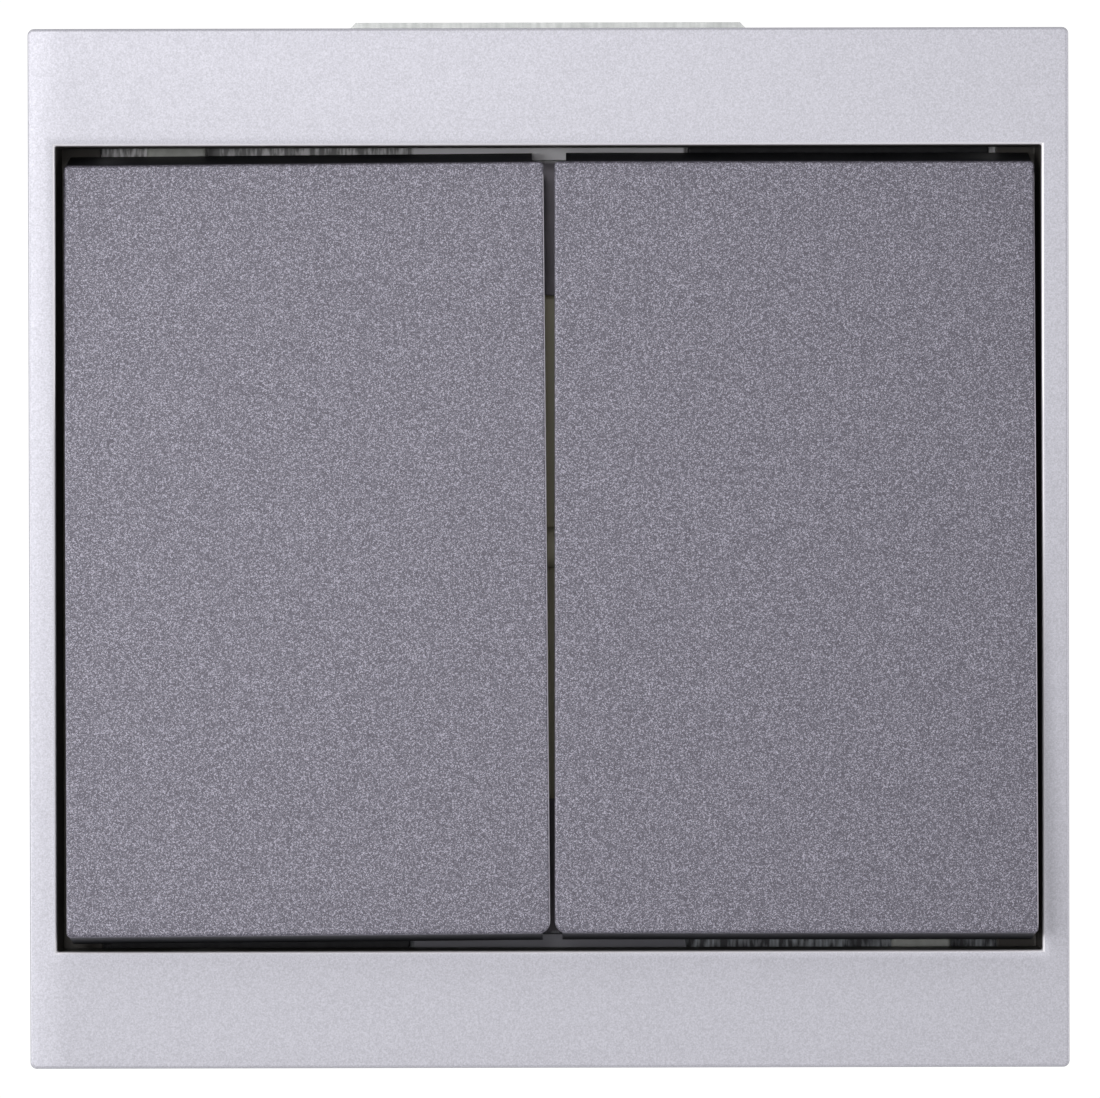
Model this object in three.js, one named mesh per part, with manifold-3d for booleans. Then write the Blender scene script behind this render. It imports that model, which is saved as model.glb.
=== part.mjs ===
// Flush-mounted two-gang rocker wall switch, in millimetres.
// +Z is up, the rockers face -Y, and the wall's surface is the plane Y = 0, so whatever
// stands in the wall box has positive Y. The origin is the centre of the wall box's mouth.
import * as THREE from "three";
import { mergeVertices } from "three/addons/utils/BufferGeometryUtils.js";
import Module from "manifold-3d";

const wasm = await Module();
wasm.setup();

// ---------------------------------------------------------------- driving dimensions
const FRAME_SIDE = 80.0;
const FRAME_FRONT = -9.5;
const OPENING_W = 75.9;
const OPENING_H = 62.0;
const LIP_WIDTH = 0.8;
const LIP_DROP = 0.06;

const ROCKER_W = 37.0;
const ROCKER_EDGE = 0.2;
const SKIRT_FLARE = { upper: 1.25, lower: 0.45 };
const ROCKER_TOP = 29.25;
const ROCKER_BOTTOM = -30.15;
const ROCKER_FACE = -6.8;
const ROCKER_SKIRT = -2.0;
const ROCKER_CENTRES = { left: -18.66, right: 18.93 };
const ROCKER_RISE = { left: 0, right: 0.12 };
const ROCKER_SKEW_DEG = { left: -0.4, right: 0.1 };

const PIVOT_Y = -3.6;
const REST_TILT_DEG = -4.5;
const MECH_X = 10.0;

const STRAP_HALF = 35.5;
const STRAP_T = 1.0;
const STRAP_RISE = 0.5;
const TONGUE_W = 31.0;
const TONGUE_HALF = 40.5;

const BASE_HALF_X = 22.0;
const BASE_HALF_Z = 24.0;
const BASE_ROUND = 28.5;
const BASE_BACK = 22.0;
const SPIGOT_X = 20.0;
const SPIGOT_Z = 19.4;

const BLADE_Y = 8.4;
const BLADE_TILT_DEG = 6.0;
const CLAW_X = 27.0;
const SCREW_X = 23.6;

const rad = THREE.MathUtils.degToRad;

// ---------------------------------------------------------------- solids and their sums
function solid(geometry) {
  const bare = new THREE.BufferGeometry();
  const source = geometry.index ? geometry.toNonIndexed() : geometry;
  bare.setAttribute("position", source.getAttribute("position"));
  const merged = mergeVertices(bare, 1e-4);
  const corners = merged.index.array;
  const kept = [];
  for (let i = 0; i < corners.length; i += 3) {
    const [a, b, c] = corners.slice(i, i + 3);
    if (a !== b && b !== c && c !== a) {
      kept.push(a, b, c);
    }
  }
  return new wasm.Manifold(
    new wasm.Mesh({
      numProp: 3,
      vertProperties: merged.attributes.position.array,
      triVerts: new Uint32Array(kept),
    }),
  );
}

const join = (...pieces) => pieces.reduce((a, b) => a.add(b));
const cut = (body, ...tools) => tools.reduce((a, b) => a.subtract(b), body);

function geometryOf(body) {
  const mesh = body.getMesh();
  const geometry = new THREE.BufferGeometry();
  geometry.setAttribute("position", new THREE.BufferAttribute(mesh.vertProperties, 3));
  geometry.setIndex(new THREE.BufferAttribute(mesh.triVerts, 1));
  const flat = geometry.toNonIndexed();
  flat.computeVertexNormals();
  return flat;
}

// ---------------------------------------------------------------- simple shapes
function block(x0, x1, y0, y1, z0, z1) {
  const box = new THREE.BoxGeometry(x1 - x0, y1 - y0, z1 - z0);
  return solid(box.translate((x0 + x1) / 2, (y0 + y1) / 2, (z0 + z1) / 2));
}

// A rod along X or Y between two stations.
function rodX(x0, x1, y, z, radius, sides = 24) {
  const rod = new THREE.CylinderGeometry(radius, radius, x1 - x0, sides);
  return solid(rod.rotateZ(Math.PI / 2).translate((x0 + x1) / 2, y, z));
}

function rodY(y0, y1, x, z, radius, sides = 24) {
  const rod = new THREE.CylinderGeometry(radius, radius, y1 - y0, sides);
  return solid(rod.translate(x, (y0 + y1) / 2, z));
}

// An outline in the X-Z plane, drawn out along Y, with an optional rounded front edge.
function plate(shape, y0, y1, edge = 0, steps = 3, drop = edge) {
  const settings = {
    depth: y1 - y0 - 2 * drop,
    bevelEnabled: edge > 0,
    bevelThickness: drop,
    bevelSize: edge,
    bevelOffset: -edge,
    bevelSegments: steps,
    curveSegments: 6,
  };
  const drawn = new THREE.ExtrudeGeometry(shape, settings);
  return solid(drawn.rotateX(Math.PI / 2).translate(0, y1 - drop, 0));
}

// An outline in the Y-Z plane, drawn out along X.
function stripAcross(points, x0, x1) {
  const outline = new THREE.Shape(points.map(([y, z]) => new THREE.Vector2(y, z)));
  const drawn = new THREE.ExtrudeGeometry(outline, { depth: x1 - x0, bevelEnabled: false });
  const turn = new THREE.Matrix4().set(0, 0, 1, x0, 1, 0, 0, 0, 0, 1, 0, 0, 0, 0, 0, 1);
  return solid(drawn.applyMatrix4(turn));
}

// A rectangle with its own radius at each corner: bottom left, bottom right, top right, top left.
function rectangle(x0, x1, z0, z1, radii) {
  const [bl, br, tr, tl] = Array.isArray(radii) ? radii : [radii, radii, radii, radii];
  const shape = new THREE.Shape();
  shape.moveTo(x0 + bl, z0);
  shape.lineTo(x1 - br, z0);
  shape.absarc(x1 - br, z0 + br, br, -Math.PI / 2, 0, false);
  shape.lineTo(x1, z1 - tr);
  shape.absarc(x1 - tr, z1 - tr, tr, 0, Math.PI / 2, false);
  shape.lineTo(x0 + tl, z1);
  shape.absarc(x0 + tl, z1 - tl, tl, Math.PI / 2, Math.PI, false);
  shape.lineTo(x0, z0 + bl);
  shape.absarc(x0 + bl, z0 + bl, bl, Math.PI, 1.5 * Math.PI, false);
  const points = shape.getPoints(6);
  const apart = points.filter((p, i) => p.distanceTo(points[(i + 1) % points.length]) > 1e-3);
  return new THREE.Shape(apart);
}

// ---------------------------------------------------------------- finishes
const finish = (hex, roughness, metalness) => () =>
  new THREE.MeshStandardMaterial({ color: hex, roughness, metalness });
const SILVER_LACQUER = finish(0xd4d2d9, 0.38, 0.4);
const ANTHRACITE_LACQUER = finish(0x7d7983, 0.42, 0.4);
const ZINC = finish(0xa9aca8, 0.45, 0.9);
const CREAM = finish(0xd9d0b4, 0.55, 0.0);
const WHITE_PLASTIC = finish(0xe6e4de, 0.5, 0.0);
const STEEL = finish(0xb5b6b8, 0.3, 1.0);
const BRASS = finish(0xc9a24f, 0.35, 1.0);
const COPPER = finish(0xc27a4e, 0.35, 1.0);
const GREY_PLASTIC = finish(0x8d9093, 0.5, 0.0);
const BLACK_PLASTIC = finish(0x26272a, 0.5, 0.0);

const group = new THREE.Group();

function place(name, body, material, parent = group) {
  const mesh = new THREE.Mesh(geometryOf(body), material());
  mesh.name = name;
  parent.add(mesh);
  return mesh;
}

const SIDES = [
  ["left", -1],
  ["right", 1],
];

// ---------------------------------------------------------------- cover frame
// A square tray with a rectangular window. Its top and bottom bands are hollow behind, its
// side bands are only as wide as the wall, and both end walls are notched over the strap.
// A ledge along each side closes the space beside the strap and is notched for its tabs.
{
  const half = FRAME_SIDE / 2;
  const [ow, oh] = [OPENING_W / 2, OPENING_H / 2];
  const outline = rectangle(-half, half, -half, half, 0.5);
  let body = plate(outline, FRAME_FRONT, 5, 0.25);
  body = cut(body, block(-50, 50, 0, 10, -50, 50));
  body = cut(body, block(-ow, ow, -15, 1, -oh, oh));
  const [lw, lh] = [ow + LIP_WIDTH, oh + LIP_WIDTH];
  const funnel = rectangle(-lw, lw, -lh, lh, 0);
  const back = FRAME_FRONT + LIP_DROP;
  body = cut(body, plate(funnel, FRAME_FRONT - 3, back, LIP_WIDTH, 1, LIP_DROP));
  body = cut(body, block(-ow, ow, -5.0, 1, -38.2, 38.2));
  for (const s of [-1, 1]) {
    const [low, high] = s < 0 ? [-38.2, -32.2] : [32.2, 38.2];
    body = cut(body, block(-ow, ow, -7.7, 1, low, high));
    const [in0, out0] = s < 0 ? [-41, -38] : [38, 41];
    body = cut(body, block(-15.9, 15.9, -1.4, 1, in0, out0));
    for (const x of [-26, 26]) {
      const rib = block(x - 0.6, x + 0.6, -8.2, -1.3, s < 0 ? -38.6 : 31.6, s < 0 ? -31.6 : 38.6);
      body = join(body, rib);
    }
  }
  for (const [, s] of SIDES) {
    const [a, b] = s < 0 ? [-38.4, -34.9] : [34.9, 38.4];
    let ledge = block(a, b, -2.3, -1.3, -38.4, 38.4);
    for (const z of [-6.15, 6.15]) {
      const [c, d] = s < 0 ? [-37.45, -34] : [34, 37.45];
      ledge = cut(ledge, block(c, d, -3, 1, z - 2.2, z + 2.2));
    }
    body = join(body, ledge);
  }
  place("cover_frame", body, SILVER_LACQUER);
}

// ---------------------------------------------------------------- support strap
// Square sheet-steel ring with a tongue at top and bottom, a pressed pad on each tongue, a
// slot each side for the box screws and small side tabs that steady the cover frame. A guide
// stud and a flat black rail stand in front of it at either end.
{
  const z0 = STRAP_RISE;
  const t = TONGUE_W / 2;
  const end = TONGUE_HALF;
  const outline = new THREE.Shape();
  const ring = [
    [-STRAP_HALF, -STRAP_HALF + 4],
    [-STRAP_HALF + 4, -STRAP_HALF],
    [-t, -STRAP_HALF],
    [-t, -end + 0.5],
    [-t + 0.5, -end],
    [t - 0.5, -end],
    [t, -end + 0.5],
    [t, -STRAP_HALF],
    [STRAP_HALF - 4, -STRAP_HALF],
    [STRAP_HALF, -STRAP_HALF + 4],
  ];
  ring.forEach(([x, z], i) => (i ? outline.lineTo(x, z + z0) : outline.moveTo(x, z + z0)));
  [...ring].forEach(([x, z]) => outline.lineTo(-x, -z + z0));
  let body = plate(outline, -STRAP_T, 0);
  for (const s of [-1, 1]) {
    for (const z of [-6.15, 6.15]) {
      const [a, b] = s < 0 ? [-37.65, -35] : [35, 37.65];
      body = join(body, block(a, b, -STRAP_T, 0, z - 2.5, z + 2.5));
    }
    const pad = rectangle(-10.6, 10.6, s < 0 ? -34.6 : 30.2, s < 0 ? -30.2 : 34.6, 0.6);
    body = join(body, plate(pad, -1.8, -0.5));
  }
  body = cut(body, plate(rectangle(-20.3, 20.3, -19.7, 19.7, 1), -4, 4));
  for (const s of [-1, 1]) {
    const slot = rectangle(s * 30 - 1.9, s * 30 + 1.9, -4.5, 4.5, 1.88);
    body = cut(body, plate(slot, -4, 4), rodY(-4, 4, s * SCREW_X, 0, 1.6));
    for (const z of [-22.2, 22.2]) {
      body = cut(body, rodY(-4, 4, s * 10, z, 1.3));
    }
    for (const z of [-25.5, 25.5]) {
      body = cut(body, rodY(-4, 4, s * 27, z, 1.6));
    }
  }
  place("support_strap", body, ZINC);
  const spots = [
    ["guide_stud_top", -29, 30.6],
    ["guide_stud_bottom", 29, -30.6],
  ];
  for (const [name, x, z] of spots) {
    const outline2 = rectangle(x - 2.3, x + 2.3, z - 2.6, z + 2.6, 0.4);
    place(name, plate(outline2, -2.3, -STRAP_T - 0.05, 0.2, 1), GREY_PLASTIC);
  }
  const rails = [
    ["guide_rail_top", 1],
    ["guide_rail_bottom", -1],
  ];
  for (const [name, s] of rails) {
    const [x0, x1] = s < 0 ? [-34.4, -10.9] : [10.9, 34.4];
    const [low, high] = s < 0 ? [-31.4, -28.6] : [28.6, 31.4];
    const rail = plate(rectangle(x0, x1, low, high, 0.4), -1.45, -STRAP_T - 0.05, 0.1, 1);
    place(name, rail, BLACK_PLASTIC);
  }
}

// ---------------------------------------------------------------- switch base
// Moulded block that stands in the wall box: a spigot through the strap, two switch chambers
// at the front, three terminal pockets at the back, and a recess each side for the claws.
const TERMINALS = [
  ["left", -10, -1],
  ["right", 10, -1],
  ["common", 0, 1],
];
{
  const round = rodY(0.1, BASE_BACK, 0, 0, BASE_ROUND, 64);
  const slab = block(-BASE_HALF_X, BASE_HALF_X, 0.1, BASE_BACK, -BASE_HALF_Z, BASE_HALF_Z);
  let body = join(
    round.intersect(slab),
    block(-SPIGOT_X, SPIGOT_X, -0.9, 0.3, -SPIGOT_Z, SPIGOT_Z),
  );
  for (const [, s] of SIDES) {
    const [a, b] = s < 0 ? [-30, -20.6] : [20.6, 30];
    body = cut(body, block(a, b, -2, 30, -7.5, 7.5));
    const [c, d] = s < 0 ? [-19, -1.2] : [1.2, 19];
    body = cut(body, block(c, d, -2, 13.5, -17.5, 17.5));
    for (const z of [-22.2, 22.2]) {
      body = cut(body, rodY(-2, 7, s * 10, z, 1.3));
    }
  }
  body = cut(body, block(-3.4, 3.4, 8.7, 13.6, -2.8, 16));
  for (const [, x, s] of TERMINALS) {
    const span = (a, b) => (s < 0 ? [-b, -a] : [a, b]);
    body = cut(body, block(x - 4.6, x + 4.6, 13.4, 20.5, ...span(3.6, 15)));
    body = cut(body, block(x - 3.6, x + 3.6, 20, 23, ...span(4.6, 7.8)));
    for (const dx of [-2.3, 2.3]) {
      body = cut(body, rodY(20, 23, x + dx, s * 10.6, 1.5));
    }
  }
  place("switch_base", body, CREAM);
  for (const [side, s] of SIDES) {
    for (const [level, z] of [["upper", 22.2], ["lower", -22.2]]) {
      const head = rodY(-1.8, -1.05, s * 10, z, 2.1);
      const shank = rodY(-1.2, 6.5, s * 10, z, 1.15);
      place(`strap_rivet_${level}_${side}`, join(head, shank), STEEL);
    }
  }
}

// ---------------------------------------------------------------- mechanism cover
// Closes the chambers, with a window under each see-saw carrier and three posts that hold
// the pivot pin.
{
  let body = block(-SPIGOT_X, SPIGOT_X, -2.2, -1.0, -SPIGOT_Z, SPIGOT_Z);
  for (const [, s] of SIDES) {
    const x = s * MECH_X;
    body = cut(body, block(x - 6.4, x + 6.4, -4, 0, -6.9, 6.9));
  }
  for (const [a, b] of [[-19.4, -17.2], [-1.5, 1.5], [17.2, 19.4]]) {
    const cheek = join(block(a, b, PIVOT_Y, -2.0, -1.6, 1.6), rodX(a, b, PIVOT_Y, 0, 1.6));
    body = join(body, cheek);
  }
  body = cut(body, rodX(-25, 25, PIVOT_Y, 0, 1.05));
  place("mechanism_cover", body, CREAM);
  place("pivot_pin", rodX(-19.3, 19.3, PIVOT_Y, 0, 1.0), STEEL);
}

// ---------------------------------------------------------------- rockers and their carriers
// Each carrier swings on the pin; the rocker's two legs grip its ends. Both are drawn level
// about the pivot and then turned to the rest position, upper end pressed in.
function helix(radius, wire, turns, length) {
  const points = [];
  const steps = Math.round(turns * 10);
  for (let i = 0; i <= steps; i += 1) {
    const angle = (i / steps) * turns * 2 * Math.PI;
    const y = wire / 2 + (i / steps) * (length - wire);
    points.push(new THREE.Vector3(radius * Math.cos(angle), y, radius * Math.sin(angle)));
  }
  const path = new THREE.CatmullRomCurve3(points);
  const section = new THREE.Shape().absarc(0, 0, wire / 2, 0, 2 * Math.PI, false);
  return new THREE.ExtrudeGeometry(section, {
    steps,
    extrudePath: path,
    bevelEnabled: false,
    curveSegments: 3,
  });
}

for (const [side, s] of SIDES) {
  const swing = new THREE.Group();
  swing.position.set(0, PIVOT_Y, 0);
  swing.rotation.x = rad(REST_TILT_DEG);
  group.add(swing);

  const cx = ROCKER_CENTRES[side];
  const w = ROCKER_W / 2;
  const inner = s < 0 ? [0.35, 0.9, 0.35, 0.35] : [0.9, 0.35, 0.35, 0.35];
  const outline = rectangle(-w, w, ROCKER_BOTTOM, ROCKER_TOP, inner);
  let cap = plate(outline, ROCKER_FACE, 3, ROCKER_EDGE);
  const flare = (z, out) => {
    const corners = [
      [ROCKER_FACE + 0.3, z],
      [ROCKER_FACE + 0.3, z - Math.sign(z)],
      [ROCKER_SKIRT, z - Math.sign(z)],
      [ROCKER_SKIRT, z + Math.sign(z) * out],
    ];
    const [inside, outside] = z > 0 ? [0.9, 0.2] : [0.6, 0.2];
    const [left, right] = s < 0 ? [outside, inside] : [inside, outside];
    return stripAcross(corners, -w + left, w - right);
  };
  cap = join(cap, flare(ROCKER_TOP, SKIRT_FLARE.upper), flare(ROCKER_BOTTOM, SKIRT_FLARE.lower));
  cap = cut(cap, block(-30, 30, ROCKER_SKIRT, 6, -40, 40));
  const hollow = rectangle(-w + 1.4, w - 1.4, ROCKER_BOTTOM + 1.4, ROCKER_TOP - 1.4, 0.5);
  cap = cut(cap, plate(hollow, ROCKER_FACE + 1.8, 4));
  const legX = s * MECH_X - cx;
  for (const e of [-1, 1]) {
    const [near, far] = e < 0 ? [-7.9, -6.7] : [6.7, 7.9];
    cap = join(cap, block(legX - 4, legX + 4, -5.4, -0.9, near, far));
    const [rib0, rib1] = e < 0 ? [-29.2, -8.4] : [8.4, 28.0];
    for (const x of [legX - 5, legX + 5]) {
      cap = join(cap, block(x - 0.5, x + 0.5, -5.4, -3.2, rib0, rib1));
    }
  }
  const rocker = place(`rocker_${side}`, cap, ANTHRACITE_LACQUER, swing);
  rocker.position.set(cx, 0, ROCKER_RISE[side]);
  rocker.rotation.y = rad(ROCKER_SKEW_DEG[side]);

  const x = s * MECH_X;
  const tower = rodY(0, 7.1, x, 0, 3.2, 24);
  let carrier = join(block(x - 6, x + 6, -3.6, 1.2, -6.3, 6.3), tower);
  carrier = cut(carrier, block(x - 3, x + 3, -5, -1.9, -7, 7));
  carrier = cut(carrier, rodX(x - 8, x + 8, 0, 0, 1.05), rodY(1.9, 8, x, 0, 2.2));
  place(`carrier_${side}`, carrier, WHITE_PLASTIC, swing);

  const follower = join(rodY(5.1, 9.2, x, 0, 1.9), rodY(9.0, 10.1, x, 0, 1.2));
  place(`plunger_${side}`, follower, WHITE_PLASTIC, swing);
  const coil = solid(helix(1.5, 0.45, 4, 2.9).translate(x, 2.05, 0));
  place(`toggle_spring_${side}`, coil, STEEL, swing);
}

// ---------------------------------------------------------------- contacts
// A see-saw blade per gang rocks on the common bar and meets a fixed contact at its lower end.
for (const [side, s] of SIDES) {
  const x = s * MECH_X;
  const tilt = new THREE.Group();
  tilt.position.set(x, BLADE_Y, 0);
  tilt.rotation.x = rad(BLADE_TILT_DEG);
  group.add(tilt);
  const blade = cut(
    block(-2.5, 2.5, -0.4, 0.4, -8, 8),
    rodY(-1, 1, 0, -6.5, 0.75),
  );
  place(`contact_blade_${side}`, blade, COPPER, tilt);
  const tip = join(rodY(0.45, 1.0, 0, -6.5, 1.2), rodY(-0.7, 0.5, 0, -6.5, 0.65));
  place(`contact_rivet_${side}`, tip, STEEL, tilt);

  const foot = join(
    block(x - 3, x + 3, 11.1, 11.9, -13, -5),
    block(x - 3, x + 3, 11.1, 19, -13, -12.2),
    rodY(10.35, 11.3, x, -6.5, 1.3),
  );
  place(`fixed_contact_${side}`, foot, BRASS);
}
{
  let bar = join(
    block(-14, 14, 9.3, 10.1, -2.2, 2.2),
    block(-3, 3, 9.3, 10.1, 2, 13),
    block(-3, 3, 9.3, 19, 12.2, 13),
  );
  for (const [, s] of SIDES) {
    const x = s * MECH_X;
    bar = join(bar, stripAcross([[9.4, 0.6], [8.95, 0.15], [8.95, -0.15], [9.4, -0.6]], x - 2.4, x + 2.4));
  }
  place("common_bar", bar, BRASS);
}

// ---------------------------------------------------------------- screwless terminals
// A bent leaf grips both wires of a terminal against its brass leg; the release button
// beside the wire holes slides in to lift it.
for (const [name, x, s] of TERMINALS) {
  const leaf = [
    [14.2, 9.0], [18.6, 9.0], [19.6, 11.6], [19.6, 12.1], [19.15, 12.1],
    [18.2, 9.45], [14.65, 9.45], [14.65, 11.9], [14.2, 11.9],
  ];
  const points = leaf.map(([y, z]) => [y, s * z]);
  if (s < 0) points.reverse();
  place(`terminal_leaf_${name}`, stripAcross(points.reverse(), x - 2.8, x + 2.8), STEEL);
  const span = (a, b) => (s < 0 ? [-b, -a] : [a, b]);
  const button = join(
    block(x - 3.3, x + 3.3, 17.2, 23.2, ...span(4.9, 7.5)),
    block(x - 4.2, x + 4.2, 17.2, 20.2, ...span(4.1, 8.3)),
  );
  place(`release_button_${name}`, button, GREY_PLASTIC);
}

// ---------------------------------------------------------------- spreading claws
// Turning a claw screw draws its square nut forward and the toothed claw swings outwards.
for (const [side, s] of SIDES) {
  const x = s * SCREW_X;
  let screw = join(rodY(-2.6, -1.1, x, 0, 2.2), rodY(-1.3, 17.5, x, 0, 1.25, 20));
  screw = cut(screw, block(x - 0.35, x + 0.35, -3, -1.9, -3, 3));
  screw = cut(screw, block(x - 3, x + 3, -3, -1.9, -0.35, 0.35));
  place(`claw_screw_${side}`, screw, STEEL);

  const nut = cut(block(x - 2.2, x + 2.2, 13.5, 15.7, -2.6, 2.6), rodY(10, 20, x, 0, 1.4));
  place(`claw_nut_${side}`, nut, STEEL);

  const hook = [
    [0.95, -0.5], [1.85, -0.5], [16.0, -0.5], [16.0, 1.1], [15.0, 0.5],
    [14.0, 1.1], [13.0, 0.5], [0.95, 0.5],
  ];
  const outline = new THREE.Shape(hook.map(([y, o]) => new THREE.Vector2(y, o)));
  const drawn = new THREE.ExtrudeGeometry(outline, { depth: 10, bevelEnabled: false });
  const lie = new THREE.Matrix4().set(0, s, 0, s * CLAW_X, 1, 0, 0, 0, 0, 0, 1, -5, 0, 0, 0, 1);
  let claw = drawn.applyMatrix4(lie);
  if (s > 0) {
    const p = claw.getAttribute("position");
    for (let i = 0; i < p.count; i += 3) {
      const hold = [p.getX(i), p.getY(i), p.getZ(i)];
      p.setXYZ(i, p.getX(i + 1), p.getY(i + 1), p.getZ(i + 1));
      p.setXYZ(i + 1, ...hold);
    }
  }
  place(`claw_${side}`, solid(claw), STEEL);
}

export default group;
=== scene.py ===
import bpy, bmesh, math
from mathutils import Matrix, Vector


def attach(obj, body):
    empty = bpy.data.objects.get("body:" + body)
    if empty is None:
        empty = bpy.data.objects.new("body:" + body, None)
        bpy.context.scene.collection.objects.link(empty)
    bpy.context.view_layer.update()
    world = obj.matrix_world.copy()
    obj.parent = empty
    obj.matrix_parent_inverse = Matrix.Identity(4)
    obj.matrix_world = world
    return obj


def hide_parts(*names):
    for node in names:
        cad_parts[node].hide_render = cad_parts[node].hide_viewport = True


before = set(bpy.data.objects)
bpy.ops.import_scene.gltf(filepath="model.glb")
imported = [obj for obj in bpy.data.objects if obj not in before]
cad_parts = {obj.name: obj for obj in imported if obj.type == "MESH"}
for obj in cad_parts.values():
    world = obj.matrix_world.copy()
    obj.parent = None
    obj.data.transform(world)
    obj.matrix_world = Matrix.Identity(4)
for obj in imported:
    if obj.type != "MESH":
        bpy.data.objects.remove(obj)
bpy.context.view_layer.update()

# Camera: square on to the rockers from half a metre in front of the cover frame, a hair
# above its centre, through a long lens.
MM = 0.001
scene = bpy.context.scene
LENS = 212.8
DISTANCE = 0.5
LIFT_DEGREES = 0.6
ROLL_DEGREES = -0.12
AIM_MM = (0.08, -9.5, -0.05)
eye = bpy.data.objects.new("camera", bpy.data.cameras.new("camera"))
scene.collection.objects.link(eye)
eye.data.sensor_width = 36.0
eye.data.lens = LENS
eye.data.clip_start = 0.01
eye.data.clip_end = 50.0
eye.matrix_world = (
    Matrix.Translation(Vector(AIM_MM) * MM)
    @ Matrix.Rotation(-math.radians(LIFT_DEGREES), 4, "X")
    @ Matrix.Translation((0, -DISTANCE, 0))
    @ Matrix.Rotation(math.radians(90), 4, "X")
    @ Matrix.Rotation(math.radians(ROLL_DEGREES), 4, "Z")
)
scene.camera = eye

# Studio: a pale surround that lights the switch more from above than from below and looks
# white behind it, with a pale floor well below. The main soft light stands to the left, and
# weaker ones at both sides and in front.
SURROUND_STRENGTH = (0.12, 0.52)
SURROUND_TURN = (-0.6, 0.8)
SURROUND_SEEN = 1.05
FLOOR_DROP = 0.9
FLOOR_RADIUS = 4.0
scene.view_settings.view_transform = "Standard"
surround = bpy.data.worlds.new("surround")
surround.use_nodes = True
sky = surround.node_tree.nodes["Background"]
sky.inputs["Color"].default_value = (1, 1, 1, 1)
lit = surround.node_tree.nodes.new("ShaderNodeLightPath")
bearing = surround.node_tree.nodes.new("ShaderNodeTexCoord")
split = surround.node_tree.nodes.new("ShaderNodeSeparateXYZ")
height = surround.node_tree.nodes.new("ShaderNodeMapRange")
height.inputs["From Min"].default_value = SURROUND_TURN[0]
height.inputs["From Max"].default_value = SURROUND_TURN[1]
height.inputs["To Min"].default_value = SURROUND_STRENGTH[0]
height.inputs["To Max"].default_value = SURROUND_STRENGTH[1]
seen = surround.node_tree.nodes.new("ShaderNodeMix")
seen.inputs["B"].default_value = SURROUND_SEEN
surround.node_tree.links.new(bearing.outputs["Generated"], split.inputs["Vector"])
surround.node_tree.links.new(split.outputs["Z"], height.inputs["Value"])
surround.node_tree.links.new(height.outputs["Result"], seen.inputs["A"])
surround.node_tree.links.new(lit.outputs["Is Camera Ray"], seen.inputs["Factor"])
surround.node_tree.links.new(seen.outputs["Result"], sky.inputs["Strength"])
scene.world = surround


def soft_light(name, place, width, height, power):
    """A rectangular light that points at the middle of the switch."""
    lamp = bpy.data.lights.new(name, "AREA")
    lamp.shape = "RECTANGLE"
    lamp.size, lamp.size_y, lamp.energy = width, height, power
    holder = bpy.data.objects.new(name, lamp)
    holder.location = place
    holder.rotation_euler = (Vector() - Vector(place)).to_track_quat("-Z", "Y").to_euler()
    scene.collection.objects.link(holder)
    return holder


soft_light("light_left", (-0.62, -1.02, 0.17), width=0.5, height=0.5, power=6.0)
soft_light("light_side", (-0.85, -0.14, 0.05), width=0.3, height=0.6, power=3.3)
soft_light("light_right", (0.85, -0.16, 0.1), width=0.3, height=0.6, power=2.6)
# The fill reaches the strap deep in the gaps and leaves no reflection, and the sheen is
# only a reflection.
fill = soft_light("light_lens", (-0.1, -1.35, 0.0), width=0.35, height=0.3, power=2.7)
fill.visible_glossy = False
sheen = soft_light("light_sheen", (-0.12, -1.3, 0.24), width=0.25, height=0.15, power=2.6)
sheen.visible_diffuse = False

floor_mesh = bmesh.new()
bmesh.ops.create_circle(floor_mesh, cap_ends=True, segments=64, radius=FLOOR_RADIUS)
bmesh.ops.translate(floor_mesh, verts=floor_mesh.verts, vec=(0, 0, -FLOOR_DROP))
floor_data = bpy.data.meshes.new("studio_floor")
floor_mesh.to_mesh(floor_data)
floor_mesh.free()
floor = bpy.data.objects.new("studio_floor", floor_data)
scene.collection.objects.link(floor)
floor_paint = bpy.data.materials.new("floor_paint")
floor_paint.use_nodes = True
floor_shader = floor_paint.node_tree.nodes["Principled BSDF"]
floor_shader.inputs["Base Color"].default_value = (0.88, 0.88, 0.88, 1)
floor_shader.inputs["Roughness"].default_value = 0.9
floor_data.materials.append(floor_paint)


# Cover frame: injection-moulded plastic tray, sprayed with pale silver lacquer that ends
# just inside the window. Its inner walls are painted near black, for the bare plastic there
# and for the shade in the window. A painted highlight runs along the window's rim, and the
# left border is crowned very slightly.
def softened(node, body, paint, ease):
    """The node's own shape with its hard edges eased, as a piece that stands for the node."""
    flat, hard_from, sharp_from = math.radians(0.6), math.radians(32), math.radians(42)
    made = bmesh.new()
    made.from_mesh(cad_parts[node].data)
    bmesh.ops.remove_doubles(made, verts=made.verts, dist=2e-6)
    bmesh.ops.dissolve_limit(made, angle_limit=flat, verts=made.verts, edges=made.edges)
    hard = [
        e for e in made.edges if len(e.link_faces) == 2 and e.calc_face_angle() > hard_from
    ]
    bmesh.ops.bevel(
        made, geom=hard, offset=ease * MM, offset_type="OFFSET", affect="EDGES",
        segments=2, profile=0.5, clamp_overlap=True, material=-1,
    )
    for f in made.faces:
        f.smooth = True
    for e in made.edges:
        e.smooth = len(e.link_faces) != 2 or e.calc_face_angle() < sharp_from
    data = bpy.data.meshes.new(node + "_shape")
    made.to_mesh(data)
    made.free()
    data.materials.append(paint)
    piece = bpy.data.objects.new(node + "_finished", data)
    scene.collection.objects.link(piece)
    weigh = piece.modifiers.new("even_faces", "WEIGHTED_NORMAL")
    weigh.keep_sharp = True
    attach(piece, body)
    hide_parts(node)
    return piece


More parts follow.
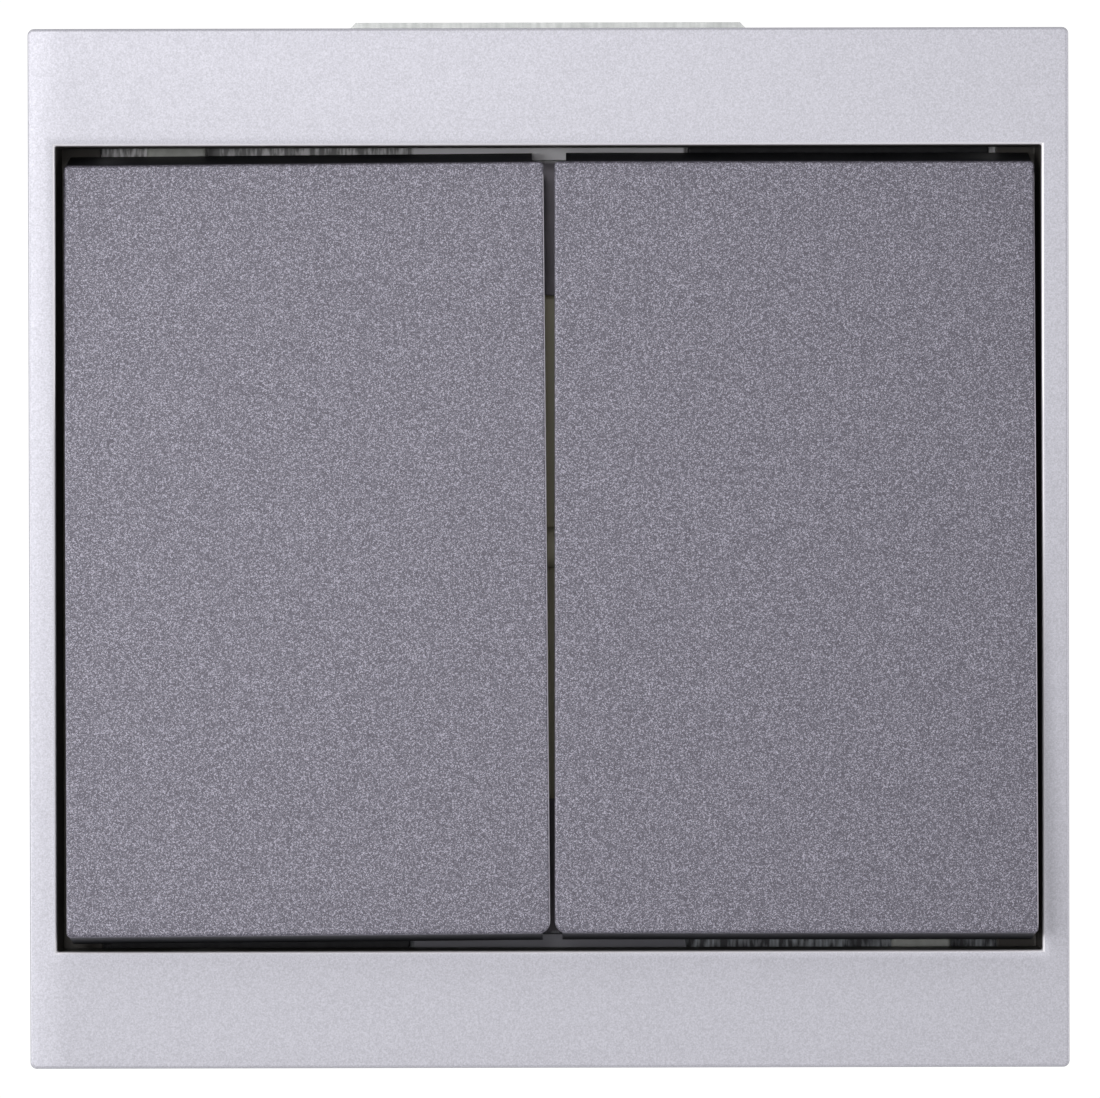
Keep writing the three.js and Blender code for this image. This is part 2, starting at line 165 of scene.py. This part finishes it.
def finish(name, colour, rough, metallic=0.0):
    """A material with its plain values set, to which patterns are added."""
    paint = bpy.data.materials.new(name)
    paint.use_nodes = True
    shader = paint.node_tree.nodes["Principled BSDF"]
    shader.inputs["Base Color"].default_value = (*colour, 1)
    shader.inputs["Roughness"].default_value = rough
    shader.inputs["Metallic"].default_value = metallic
    return paint


def grain(paint, scale, stretch=(1, 1, 1), detail=2.0):
    """A noise pattern in the object's own place, and its value between 0 and 1."""
    tree = paint.node_tree
    where = tree.nodes.new("ShaderNodeTexCoord")
    fit = tree.nodes.new("ShaderNodeMapping")
    fit.inputs["Scale"].default_value = stretch
    noise = tree.nodes.new("ShaderNodeTexNoise")
    noise.inputs["Scale"].default_value = scale
    noise.inputs["Detail"].default_value = detail
    tree.links.new(where.outputs["Object"], fit.inputs["Vector"])
    tree.links.new(fit.outputs["Vector"], noise.inputs["Vector"])
    return noise.outputs["Fac"]


def shades(paint, value, dark, light, low=0.3, high=0.7):
    """Two colours blended by a pattern, for the base colour."""
    ramp = paint.node_tree.nodes.new("ShaderNodeValToRGB")
    ramp.color_ramp.elements[0].position = low
    ramp.color_ramp.elements[1].position = high
    ramp.color_ramp.elements[0].color = (*dark, 1)
    ramp.color_ramp.elements[1].color = (*light, 1)
    paint.node_tree.links.new(value, ramp.inputs["Fac"])
    return ramp.outputs["Color"]


def into(paint, value, socket, low=None, high=None):
    """Feeds a pattern to one of the shader's sockets, scaled to a range where one is given."""
    tree = paint.node_tree
    if low is not None:
        span = tree.nodes.new("ShaderNodeMapRange")
        span.inputs["To Min"].default_value = low
        span.inputs["To Max"].default_value = high
        tree.links.new(value, span.inputs["Value"])
        value = span.outputs["Result"]
    tree.links.new(value, tree.nodes["Principled BSDF"].inputs[socket])


def relief(paint, value, depth_mm, strength=1.0):
    """Bump from a pattern, as deep as given where the pattern runs from 0 to 1."""
    tree = paint.node_tree
    bump = tree.nodes.new("ShaderNodeBump")
    bump.inputs["Distance"].default_value = depth_mm * MM
    bump.inputs["Strength"].default_value = strength
    tree.links.new(value, bump.inputs["Height"])
    tree.links.new(bump.outputs["Normal"], tree.nodes["Principled BSDF"].inputs["Normal"])


def tint(paint, mask, under, over):
    """One colour laid over another where the mask is 1."""
    blend = paint.node_tree.nodes.new("ShaderNodeMix")
    blend.data_type = "RGBA"
    factor, first, second = blend.inputs[0], blend.inputs[6], blend.inputs[7]
    paint.node_tree.links.new(mask, factor)
    for socket, colour in ((first, under), (second, over)):
        if isinstance(colour, tuple):
            socket.default_value = (*colour, 1)
        else:
            paint.node_tree.links.new(colour, socket)
    return blend.outputs[2]


def reckon(paint, how, first, second=None):
    """One sum or product of patterns, places and plain numbers."""
    sum_node = paint.node_tree.nodes.new("ShaderNodeMath")
    sum_node.operation = how
    for index, term in enumerate((first, second)):
        if isinstance(term, (int, float)):
            sum_node.inputs[index].default_value = term
        elif term is not None:
            paint.node_tree.links.new(term, sum_node.inputs[index])
    return sum_node.outputs["Value"]


def coordinate(paint, axis):
    """The distance of the surface from the object's origin along a direction, in metres."""
    tree = paint.node_tree
    where = tree.nodes.new("ShaderNodeTexCoord")
    along = tree.nodes.new("ShaderNodeVectorMath")
    along.operation = "DOT_PRODUCT"
    along.inputs[1].default_value = axis
    tree.links.new(where.outputs["Object"], along.inputs[0])
    return along.outputs["Value"]


def from_centre(paint, axis):
    """The same distance, counted the same on both sides."""
    return reckon(paint, "ABSOLUTE", coordinate(paint, axis))


def rise(paint, value, start_mm, end_mm):
    """0 before the first place, 1 past the second, with a soft change between them."""
    ease = paint.node_tree.nodes.new("ShaderNodeMapRange")
    ease.interpolation_type = "SMOOTHSTEP"
    ease.inputs["From Min"].default_value = start_mm * MM
    ease.inputs["From Max"].default_value = end_mm * MM
    paint.node_tree.links.new(value, ease.inputs["Value"])
    return ease.outputs["Result"]


def fall(paint, value, start_mm, end_mm):
    """1 before the first place, 0 past the second."""
    return reckon(paint, "SUBTRACT", 1.0, rise(paint, value, start_mm, end_mm))


def all_of(paint, mask, *others):
    """1 only where every mask is 1."""
    for other in others:
        mask = reckon(paint, "MULTIPLY", mask, other)
    return mask


# Pairs are places in millimetres between which one finish gives way to the next.
ACROSS, INWARD, UPWARD = (1, 0, 0), (0, 1, 0), (0, 0, 1)
OUTER_WALL = (38.7, 39.2)
LACQUER_END = (-9.2, -8.4)
RIM_SIDE = (38.1, 38.3)
RIM_TOP = (31.15, 31.35)
RIM_DEPTH = (-9.46, -9.42)
CROWN_START = 37.0
CROWN = 26.0
ORANGE_PEEL = 0.0000012
# Painted highlight for the window's rim.
RIM_PAINTED_HIGHLIGHT = (0.86, 0.84, 0.88)
# Painted near black for the bare plastic and the shade in the window.
BARE_PLASTIC_AND_SHADE = (0.085, 0.078, 0.072)
silver = finish("silver_lacquer", (0.60, 0.592, 0.645), 0.44, 0.3)
sprayed = shades(
    silver, grain(silver, 9000.0), (0.435, 0.430, 0.478), (0.585, 0.578, 0.640)
)
outward = reckon(silver, "MAXIMUM", from_centre(silver, ACROSS), from_centre(silver, UPWARD))
# Painted near black inside the window: the bare plastic where the lacquer ends, and painted
# shade in the window.
bare_and_shade = all_of(
    silver,
    fall(silver, outward, *OUTER_WALL),
    rise(silver, coordinate(silver, INWARD), *LACQUER_END),
)
# Painted highlight: a bright line along the window's rim, where its edge turns in.
rim_highlight = all_of(
    silver,
    fall(silver, from_centre(silver, ACROSS), *RIM_SIDE),
    fall(silver, from_centre(silver, UPWARD), *RIM_TOP),
    rise(silver, coordinate(silver, INWARD), *RIM_DEPTH),
)
sprayed = tint(silver, rim_highlight, sprayed, RIM_PAINTED_HIGHLIGHT)
into(silver, tint(silver, bare_and_shade, sprayed, BARE_PLASTIC_AND_SHADE), "Base Color")
into(silver, grain(silver, 3000.0), "Roughness", 0.36, 0.48)
past = reckon(silver, "SUBTRACT", coordinate(silver, (-1, 0, 0)), CROWN_START * MM)
past = reckon(silver, "MAXIMUM", past, 0.0)
crown = reckon(silver, "MULTIPLY", reckon(silver, "POWER", past, 2.0), -CROWN)
peel = reckon(silver, "MULTIPLY", grain(silver, 2500.0), ORANGE_PEEL)
relief(silver, reckon(silver, "ADD", crown, peel), 1 / MM)
softened("cover_frame", "insert", silver, 0.15)


# Rockers: two moulded caps in anthracite lacquer with a fine bright flake, clipped on the
# carriers by two legs each. Painted shade darkens their skirts below the face, and a painted
# highlight runs down the edges that face right.
def flakes(paint, width_mm, stops):
    """Small cells, each with a shade of its own taken from the stops."""
    tree = paint.node_tree
    where = tree.nodes.new("ShaderNodeTexCoord")
    cells = tree.nodes.new("ShaderNodeTexVoronoi")
    cells.inputs["Scale"].default_value = 1 / (width_mm * MM)
    apart = tree.nodes.new("ShaderNodeSeparateColor")
    ramp = tree.nodes.new("ShaderNodeValToRGB")
    for index, (at, colour) in enumerate(stops):
        if index > 1:
            ramp.color_ramp.elements.new(at)
        ramp.color_ramp.elements[index].position = at
        ramp.color_ramp.elements[index].color = (*colour, 1)
    tree.links.new(where.outputs["Object"], cells.inputs["Vector"])
    tree.links.new(cells.outputs["Color"], apart.inputs["Color"])
    tree.links.new(apart.outputs["Red"], ramp.inputs["Fac"])
    return ramp.outputs["Color"]


FACE_SLOPE = math.radians(-4.5)
FACE_FRONT = 10.389
FLAKE_WIDTH = 0.068
FLAKE_SHADES = [
    (0.0, (0.068, 0.063, 0.083)),
    (0.62, (0.128, 0.121, 0.153)),
    (1.0, (0.375, 0.360, 0.430)),
]
# Painted shade on the skirts below the face.
SKIRT_SHADE_DEPTH = (0.25, 0.9)
LEFT_CAP_EDGE = ((-2.5, -1.5), (0.12, 0.2))
RIGHT_CAP_EDGE = (34.0, 35.0)
CAP_ENDS = (28.6, 29.0)
# Painted highlight down the rocker edges that face right.
HIGHLIGHT_DEPTH = (0.03, 0.10)
EDGE_PAINTED_HIGHLIGHT = (0.62, 0.60, 0.66)
SKIRT_PAINTED_SHADE = (0.03, 0.03, 0.037)
anthracite = finish("anthracite_lacquer", (0.20, 0.185, 0.22), 0.42, 0.3)
face_normal = (0, math.cos(FACE_SLOPE), math.sin(FACE_SLOPE))
depth = reckon(anthracite, "ADD", coordinate(anthracite, face_normal), FACE_FRONT * MM)
across = coordinate(anthracite, ACROSS)
left_cap = all_of(
    anthracite,
    rise(anthracite, across, *LEFT_CAP_EDGE[0]),
    fall(anthracite, across, *LEFT_CAP_EDGE[1]),
)
# Painted highlight: a pale line down the edges that face right.
right_edge_highlight = all_of(
    anthracite,
    reckon(anthracite, "ADD", left_cap, rise(anthracite, across, *RIGHT_CAP_EDGE)),
    fall(anthracite, from_centre(anthracite, UPWARD), *CAP_ENDS),
    rise(anthracite, depth, *HIGHLIGHT_DEPTH),
)
sprayed = flakes(anthracite, FLAKE_WIDTH, FLAKE_SHADES)
sprayed = tint(anthracite, right_edge_highlight, sprayed, EDGE_PAINTED_HIGHLIGHT)
# Painted shade: the skirts go near black below the face.
sprayed = tint(anthracite, rise(anthracite, depth, *SKIRT_SHADE_DEPTH), sprayed, SKIRT_PAINTED_SHADE)
into(anthracite, sprayed, "Base Color")
into(anthracite, grain(anthracite, 5200.0), "Roughness", 0.34, 0.52)
relief(anthracite, grain(anthracite, 6000.0), 0.005, 0.35)
for side in ("left", "right"):
    softened(f"rocker_{side}", f"rocker_{side}", anthracite, 0.15)

# Support strap: pressed and punched sheet steel with a zinc coat, rolled along its height.
# Painted shade darkens the zinc under the rockers and in the lower half, and the pads are
# painted light in the upper gap and painted shade in the lower one.
PAD_START = (30.0, 30.3)
PAD_SIDE = (10.4, 10.8)
HALVES = (-5.0, 5.0)
TONGUE_START = (35.0, 36.0)
SHADE_UNDER_ROCKERS = (29.9, 30.3)
STRAP_BACK = (-0.95, -0.8)
# Painted light for the upper pad, painted shade for the lower one.
UPPER_PAD_PAINTED_LIGHT, LOWER_PAD_PAINTED_SHADE = (0.95, 0.935, 0.97), (0.27, 0.265, 0.30)
# Painted shade for the zinc under the rockers.
ZINC_PAINTED_SHADE = (0.17, 0.155, 0.18)
zinc = finish("rolled_zinc", (0.40, 0.41, 0.39), 0.46, 0.45)
lines = grain(zinc, 1.0, (2600, 2600, 500), 4.0)
# A lit copy and a painted-shade copy of the spangle, for the upper and lower halves.
lit_spangle = shades(zinc, lines, (0.30, 0.295, 0.30), (0.97, 0.96, 0.98), 0.42, 0.60)
spangle_painted_shade = shades(zinc, lines, (0.10, 0.10, 0.11), (0.62, 0.65, 0.70), 0.42, 0.66)
rolled = shades(zinc, lines, (0.44, 0.455, 0.445), (0.60, 0.61, 0.60))
far = from_centre(zinc, UPWARD)
on_pad = all_of(
    zinc, rise(zinc, far, *PAD_START), fall(zinc, from_centre(zinc, ACROSS), *PAD_SIDE)
)
# Painted shade: the lower half of the strap takes the darker copy of the spangle.
lower = fall(zinc, coordinate(zinc, UPWARD), *HALVES)
face = tint(zinc, lower, lit_spangle, spangle_painted_shade)
# Painted light on the pad in the upper gap, painted shade on the pad in the lower gap.
face = tint(zinc, on_pad, face, tint(zinc, lower, UPPER_PAD_PAINTED_LIGHT, LOWER_PAD_PAINTED_SHADE))
face = tint(zinc, rise(zinc, far, *TONGUE_START), face, rolled)
# Painted shade: the zinc under the rockers is darkened.
face = tint(zinc, fall(zinc, far, *SHADE_UNDER_ROCKERS), face, ZINC_PAINTED_SHADE)
behind = rise(zinc, coordinate(zinc, INWARD), *STRAP_BACK)
into(zinc, tint(zinc, behind, face, rolled), "Base Color")
into(zinc, grain(zinc, 700.0), "Roughness", 0.36, 0.56)
relief(zinc, lines, 0.01, 0.3)
softened("support_strap", "insert", zinc, 0.12)

# Guide studs, guide rails and release buttons: small plastic mouldings, grey and black.
# Studs and rails sit on the strap's front, and the buttons slide in the base's back.
grey = finish("stud_grey", (0.48, 0.49, 0.46), 0.5)
moulded = shades(grey, grain(grey, 1800.0), (0.44, 0.45, 0.42), (0.54, 0.55, 0.52))
into(grey, moulded, "Base Color")
relief(grey, grain(grey, 3000.0), 0.004, 0.3)
black = finish("rail_black", (0.028, 0.028, 0.032), 0.45)
moulded = shades(black, grain(black, 1800.0), (0.022, 0.022, 0.026), (0.036, 0.036, 0.041))
into(black, moulded, "Base Color")
into(black, grain(black, 1600.0), "Roughness", 0.36, 0.6)
relief(black, grain(black, 2400.0), 0.004, 0.3)
for end in ("top", "bottom"):
    softened(f"guide_stud_{end}", "insert", grey, 0.1)
    softened(f"guide_rail_{end}", "insert", black, 0.08)
for end in ("left", "right", "common"):
    softened(f"release_button_{end}", f"button_{end}", grey, 0.15)

# Switch base and mechanism cover: pressed cream thermoset, matt, with a slight mottle. The
# ejector pins of the mould leave five flat round marks on the back of the base.
MARK_PLACES = ((-16, 9), (16, 9), (0, -3), (-16, -4), (16, -4))
MARK_RADII = (1.6, 1.5)
MARK_HEIGHT = 0.3
BASE_BACK = 22.0
cream = finish("cream_thermoset", (0.72, 0.66, 0.49), 0.55)
mottle = grain(cream, 260.0, detail=6.0)
into(cream, shades(cream, mottle, (0.69, 0.63, 0.46), (0.74, 0.68, 0.51)), "Base Color")
into(cream, grain(cream, 1500.0), "Roughness", 0.46, 0.64)
relief(cream, grain(cream, 2600.0, detail=4.0), 0.008, 0.35)
softened("switch_base", "insert", cream, 0.25)
softened("mechanism_cover", "insert", cream, 0.12)
marks = bmesh.new()
for x, z in MARK_PLACES:
    place = Matrix.Translation(Vector((x, BASE_BACK, z)) * MM)
    bmesh.ops.create_cone(
        marks, cap_ends=True, segments=32,
        radius1=MARK_RADII[0] * MM, radius2=MARK_RADII[1] * MM, depth=MARK_HEIGHT * MM,
        matrix=place @ Matrix.Rotation(math.radians(-90), 4, "X"),
    )
bmesh.ops.recalc_face_normals(marks, faces=marks.faces)
marks_data = bpy.data.meshes.new("moulding_marks")
marks.to_mesh(marks_data)
marks.free()
marks_data.materials.append(cream)
marks_piece = bpy.data.objects.new("moulding_marks", marks_data)
scene.collection.objects.link(marks_piece)
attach(marks_piece, "insert")

# Carriers and plungers: natural white nylon. The carriers turn on the pivot pin and hold
# the rockers, and each plunger slides in its carrier.
nylon = finish("white_nylon", (0.78, 0.77, 0.72), 0.45)
cloudy = grain(nylon, 900.0, detail=3.0)
into(nylon, shades(nylon, cloudy, (0.73, 0.72, 0.67), (0.82, 0.81, 0.77)), "Base Color")
relief(nylon, grain(nylon, 2000.0), 0.004, 0.3)
for side in ("left", "right"):
    softened(f"carrier_{side}", f"rocker_{side}", nylon, 0.12)
    softened(f"plunger_{side}", f"rocker_{side}", nylon, 0.1)

# Contacts: copper-alloy blades with silver rivets, and brass strip for the fixed side and
# for the bar that both blades share.
STRIP_STRETCH = (3000, 3000, 200)
copper = finish("copper_strip", (0.60, 0.30, 0.16), 0.34, 1.0)
drawn = grain(copper, 1.0, STRIP_STRETCH, 3.0)
into(copper, shades(copper, drawn, (0.50, 0.24, 0.12), (0.72, 0.38, 0.22)), "Base Color")
brass = finish("brass_strip", (0.68, 0.48, 0.18), 0.34, 1.0)
drawn = grain(brass, 1.0, STRIP_STRETCH, 3.0)
into(brass, shades(brass, drawn, (0.55, 0.38, 0.13), (0.78, 0.56, 0.24)), "Base Color")
silver_tip = finish("silver_tip", (0.72, 0.72, 0.72), 0.3, 1.0)
tarnish = shades(silver_tip, grain(silver_tip, 2000.0), (0.60, 0.59, 0.57), (0.78, 0.78, 0.78))
into(silver_tip, tarnish, "Base Color")
into(silver_tip, grain(silver_tip, 2500.0), "Roughness", 0.22, 0.42)
for side in ("left", "right"):
    softened(f"contact_blade_{side}", f"blade_{side}", copper, 0.08)
    softened(f"contact_rivet_{side}", f"blade_{side}", silver_tip, 0.06)
    softened(f"fixed_contact_{side}", "insert", brass, 0.08)
softened("common_bar", "insert", brass, 0.08)

# Springs and terminal leaves: bright spring steel. The coil springs keep the CAD's own
# shape, since their wire is too thin to ease.
spring_steel = finish("spring_steel", (0.50, 0.50, 0.51), 0.28, 1.0)
drawn = grain(spring_steel, 1300.0)
drawn = shades(spring_steel, drawn, (0.43, 0.43, 0.44), (0.56, 0.56, 0.57))
into(spring_steel, drawn, "Base Color")
into(spring_steel, grain(spring_steel, 1800.0), "Roughness", 0.2, 0.4)
for end in ("left", "right", "common"):
    softened(f"terminal_leaf_{end}", "insert", spring_steel, 0.05)
for side in ("left", "right"):
    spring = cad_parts[f"toggle_spring_{side}"]
    for index in range(len(spring.material_slots)):
        spring.material_slots[index].material = spring_steel

# Pivot pin, rivets, claws and their screws and nuts: small turned or punched steel with a
# bright zinc coat. The claws grip the wall box when their screws draw the nuts forward.
plated = finish("bright_zinc", (0.55, 0.56, 0.57), 0.33, 0.95)
cloudy = grain(plated, 1400.0, detail=4.0)
into(plated, shades(plated, cloudy, (0.47, 0.48, 0.50), (0.62, 0.63, 0.63)), "Base Color")
into(plated, grain(plated, 900.0), "Roughness", 0.26, 0.46)
softened("pivot_pin", "insert", plated, 0.1)
for side in ("left", "right"):
    softened(f"claw_screw_{side}", f"screw_{side}", plated, 0.1)
    softened(f"claw_nut_{side}", f"nut_{side}", plated, 0.1)
    softened(f"claw_{side}", f"claw_{side}", plated, 0.1)
    for level in ("upper", "lower"):
        softened(f"strap_rivet_{level}_{side}", "insert", plated, 0.15)
